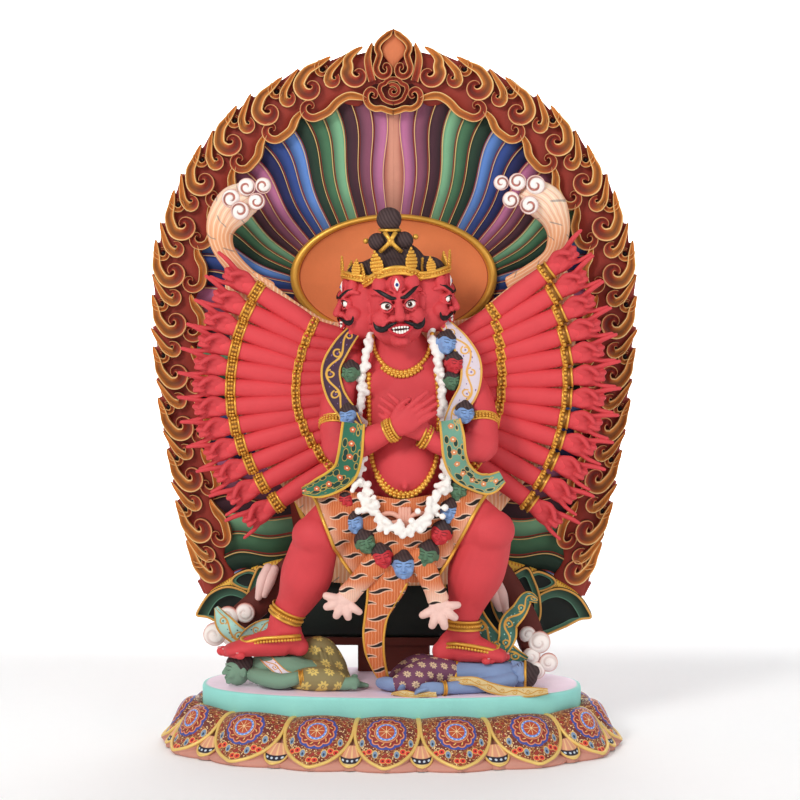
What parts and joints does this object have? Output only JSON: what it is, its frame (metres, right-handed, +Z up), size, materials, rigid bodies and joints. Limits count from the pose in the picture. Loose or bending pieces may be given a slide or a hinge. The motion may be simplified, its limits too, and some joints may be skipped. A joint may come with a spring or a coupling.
{
  "type": "hevajra statue",
  "caption": "Painted altar statue of a red, many-armed wrathful deity on two trampled figures and a lotus plinth, before a flame-bordered aureole.",
  "frame": {"origin": "centre of the plinth's underside", "axes": "+Z up to the tip of the aureole, -Y towards the viewer, +X to the viewer's right"},
  "size_m": [0.3534, 0.216, 0.504],
  "materials": {
    "petal_paint": "matte mineral paint with fine gold lines on clay",
    "platform_paint": "matte turquoise paint on clay, pale pink on top",
    "red_paint": "matte coral red paint on clay",
    "hide_paint": "matte flesh paint with fine brown lines on clay",
    "green_paint": "matte green paint on clay",
    "blue_paint": "matte blue paint on clay",
    "flame_paint": "matte paint running from deep red to gold at the flame tips",
    "stand_paint": "dark brown stained wood"
  },
  "bodies": {
    "root": {"lotus_plinth": "petal_paint", "oval_platform": "platform_paint", "many_armed_figure": "red_paint", "elephant_hide": "hide_paint", "prone_figure": "green_paint", "supine_figure": "blue_paint", "flame_aureole": "flame_paint", "aureole_beam": "stand_paint", "aureole_post": "stand_paint"}
  },
  "joints": []
}
